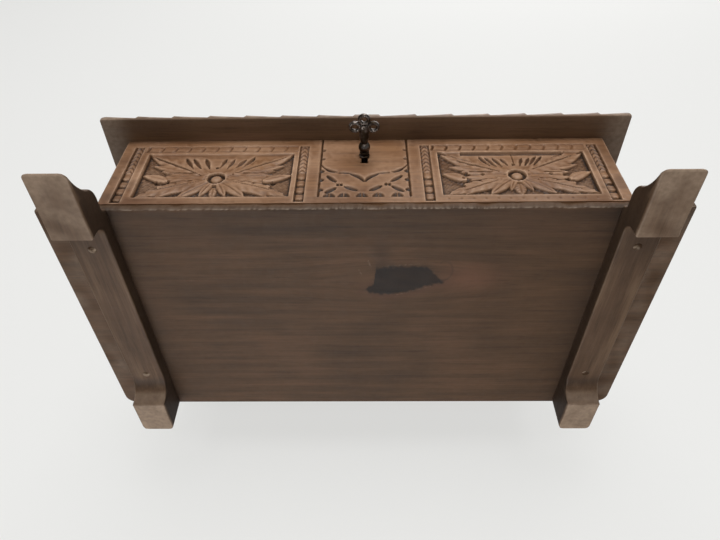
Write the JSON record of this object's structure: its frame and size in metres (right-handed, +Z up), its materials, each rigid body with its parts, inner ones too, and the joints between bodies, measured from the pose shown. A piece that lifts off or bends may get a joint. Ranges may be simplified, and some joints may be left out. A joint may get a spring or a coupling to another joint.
{
  "type": "desk letter box",
  "caption": "Low lidded wooden letter box with carved front, notched lid edge, wide base board, arched foot rails and a turning key in its lock.",
  "frame": {"origin": "middle of the part's bounding box, at the level that the foot rails stand on", "axes": "+X along the carved front to the viewer's right, +Y from the front to the rear, +Z up"},
  "size_m": [0.415, 0.2588, 0.116],
  "materials": {
    "front_wood": "carved walnut-brown wood, waxed, raised parts rubbed lighter",
    "wall_wood": "plain walnut-brown wood, waxed",
    "lid_wood": "dark brown wood, waxed, worn notched edge",
    "board_wood": "dark brown wood with a knot, dry underside, worn arrises",
    "rail_wood": "brown wood, pale and worn where it stands",
    "hinge_iron": "dark forged iron",
    "lock_iron": "dark iron sheet",
    "screw_steel": "dull steel",
    "bolt_brass": "dull brass",
    "key_bronze": "polished dark iron with a brown patina"
  },
  "bodies": {
    "box": {"base_board": "board_wood", "left_foot_rail": "rail_wood", "right_foot_rail": "rail_wood", "foot_screws": "screw_steel", "front_panel": "front_wood", "back_panel": "wall_wood", "left_side": "wall_wood", "right_side": "wall_wood", "left_hinge_box_leaf": "hinge_iron", "right_hinge_box_leaf": "hinge_iron", "left_hinge_pin": "screw_steel", "right_hinge_pin": "screw_steel", "hinge_box_screws": "screw_steel", "lock_case": "lock_iron", "lock_cap": "lock_iron", "drill_pin": "screw_steel", "lock_screws": "screw_steel", "cap_screws": "screw_steel"},
    "lid": {"lid_board": "lid_wood", "left_hinge_lid_leaf": "hinge_iron", "right_hinge_lid_leaf": "hinge_iron", "hinge_lid_screws": "screw_steel", "strike_plate": "lock_iron", "strike_screws": "screw_steel"},
    "key": {"key": "key_bronze"},
    "bolt": {"lock_bolt": "bolt_brass"}
  },
  "joints": [
    {"name": "lid_hinge", "type": "hinge", "parent": "box", "child": "lid", "pos_m": [0.0009, 0.12705, 0.105], "axis": [-1, 0, 0], "range_deg": [0, 110]},
    {"name": "key_turn", "type": "hinge", "parent": "box", "child": "key", "pos_m": [0.0009, -0.08415, 0.0837], "axis": [0, 1, 0], "range_deg": [0, 180]},
    {"name": "bolt_slide", "type": "slide", "parent": "box", "child": "bolt", "axis": [1, 0, 0], "range_m": [0, 0.006]}
  ],
  "couplings": [
    {"joint": "bolt_slide", "follows": "key_turn", "m_per_rad": 0.0019098}
  ]
}
